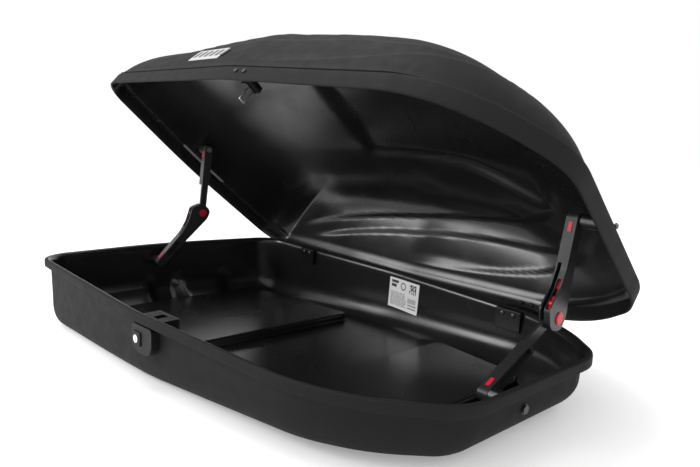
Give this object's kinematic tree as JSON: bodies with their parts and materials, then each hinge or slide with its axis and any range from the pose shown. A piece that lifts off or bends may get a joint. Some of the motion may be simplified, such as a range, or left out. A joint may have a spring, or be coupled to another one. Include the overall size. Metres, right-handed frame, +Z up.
{
  "type": "roof cargo box",
  "caption": "Rigid car roof cargo box with a side-opening lid on two hinges, folding support arms, a key lock and slotted rows for crossbar clamps.",
  "frame": {"origin": "middle of the tray's level underside, on the centre line of the box", "axes": "+X towards the nose of the box, -Y towards the opening side, +Z up; the lid stands open at rest"},
  "size_m": [1.4019, 0.8677, 0.7542],
  "materials": {
    "textured_plastic": "fine matte grain outside, glossy inside",
    "label": "printed paper, satin",
    "badge_plastic": "gloss",
    "housing_plastic": "satin",
    "cover_plastic": "satin grey",
    "key_chrome": "polished",
    "arm_plastic": "satin",
    "red_plastic": "satin red",
    "steel": "zinc plated"
  },
  "bodies": {
    "tray": {"tray": "textured_plastic", "tray_floor": "textured_plastic", "info_label": "label", "tray_hinge_leaf_rear": "steel", "tray_hinge_leaf_front": "steel", "hinge_pin_rear": "steel", "hinge_pin_front": "steel", "tray_hinge_rivets": "steel", "tray_arm_bracket_rear": "steel", "tray_arm_bracket_front": "steel", "tray_arm_bolts": "steel", "lock_housing": "housing_plastic", "lock_bezel": "badge_plastic", "lock_case": "housing_plastic", "lock_case_cover": "cover_plastic", "lock_screws": "steel"},
    "lid": {"lid": "textured_plastic", "badge_plate": "badge_plastic", "lid_hinge_leaf_rear": "steel", "lid_hinge_leaf_front": "steel", "lid_hinge_rivets": "steel", "lid_arm_bracket_rear": "steel", "lid_arm_bracket_front": "steel", "lid_arm_bolts": "steel", "striker_block": "housing_plastic", "striker_loop": "steel", "striker_screws": "steel"},
    "rear_lower_arm": {"rear_main_link": "arm_plastic", "rear_elbow_pin": "steel", "rear_elbow_cap": "red_plastic", "rear_tray_clip": "red_plastic", "rear_catch_seat": "red_plastic"},
    "rear_upper_arm": {"rear_plain_link": "arm_plastic", "rear_lid_clip": "red_plastic", "rear_lid_pin": "steel"},
    "rear_catch": {"rear_catch": "red_plastic", "rear_catch_spring": "steel"},
    "front_upper_arm": {"front_main_link": "arm_plastic", "front_elbow_pin": "steel", "front_elbow_cap": "red_plastic", "front_lid_pin": "steel", "front_lid_clip": "red_plastic", "front_catch_seat": "red_plastic"},
    "front_lower_arm": {"front_plain_link": "arm_plastic", "front_tray_clip": "red_plastic"},
    "front_catch": {"front_catch": "red_plastic", "front_catch_spring": "steel"},
    "key": {"key_cylinder": "key_chrome"},
    "latch": {"latch_hook": "steel"}
  },
  "joints": [
    {"name": "lid_hinge", "type": "hinge", "parent": "tray", "child": "lid", "pos_m": [-0.00212, 0.358, 0.11907], "axis": [0.9976, -0.03, -0.0624], "range_deg": [0, 39.8]},
    {"name": "rear_arm_fold", "type": "hinge", "parent": "tray", "child": "rear_lower_arm", "pos_m": [-0.55885, -0.045, 0.14087], "axis": [0.998, 0, -0.0624], "range_deg": [-34.58, 0]},
    {"name": "rear_elbow", "type": "hinge", "parent": "rear_lower_arm", "child": "rear_upper_arm", "pos_m": [-0.54969, 0.09099, 0.28724], "axis": [0.998, 0, -0.0624], "range_deg": [0, 113.86]},
    {"name": "rear_catch_slide", "type": "slide", "parent": "rear_lower_arm", "child": "rear_catch", "axis": [-0.058, -0.372, -0.9264], "range_m": [0, 0.005], "stiffness_N_per_m": 150},
    {"name": "front_arm_fold", "type": "hinge", "parent": "tray", "child": "front_lower_arm", "pos_m": [0.62665, -0.02, 0.0637], "axis": [0.998, 0, -0.0624], "range_deg": [-27.69, 0]},
    {"name": "front_elbow", "type": "hinge", "parent": "front_lower_arm", "child": "front_upper_arm", "pos_m": [0.63276, 0.17253, 0.16143], "axis": [0.998, 0, -0.0624], "range_deg": [0, 81.66]},
    {"name": "front_catch_slide", "type": "slide", "parent": "front_upper_arm", "child": "front_catch", "axis": [0.0517, 0.5609, 0.8263], "range_m": [0, 0.005], "stiffness_N_per_m": 150},
    {"name": "key_turn", "type": "hinge", "parent": "tray", "child": "key", "pos_m": [0.07496, -0.36474, 0.10022], "axis": [-0.0963, 0.9953, 0.006], "range_deg": [0, 90]},
    {"name": "latch_swing", "type": "hinge", "parent": "tray", "child": "latch", "pos_m": [0.10834, -0.33538, 0.10013], "axis": [-0.0963, 0.9953, 0.006], "range_deg": [-25, 0]}
  ],
  "couplings": [
    {"joint": "rear_arm_fold", "follows": "lid_hinge", "ratio": -0.86833},
    {"joint": "rear_elbow", "follows": "lid_hinge", "ratio": 2.8595},
    {"joint": "front_arm_fold", "follows": "lid_hinge", "ratio": -0.69547},
    {"joint": "front_elbow", "follows": "lid_hinge", "ratio": 2.0508},
    {"joint": "latch_swing", "follows": "key_turn", "ratio": -0.27778}
  ]
}
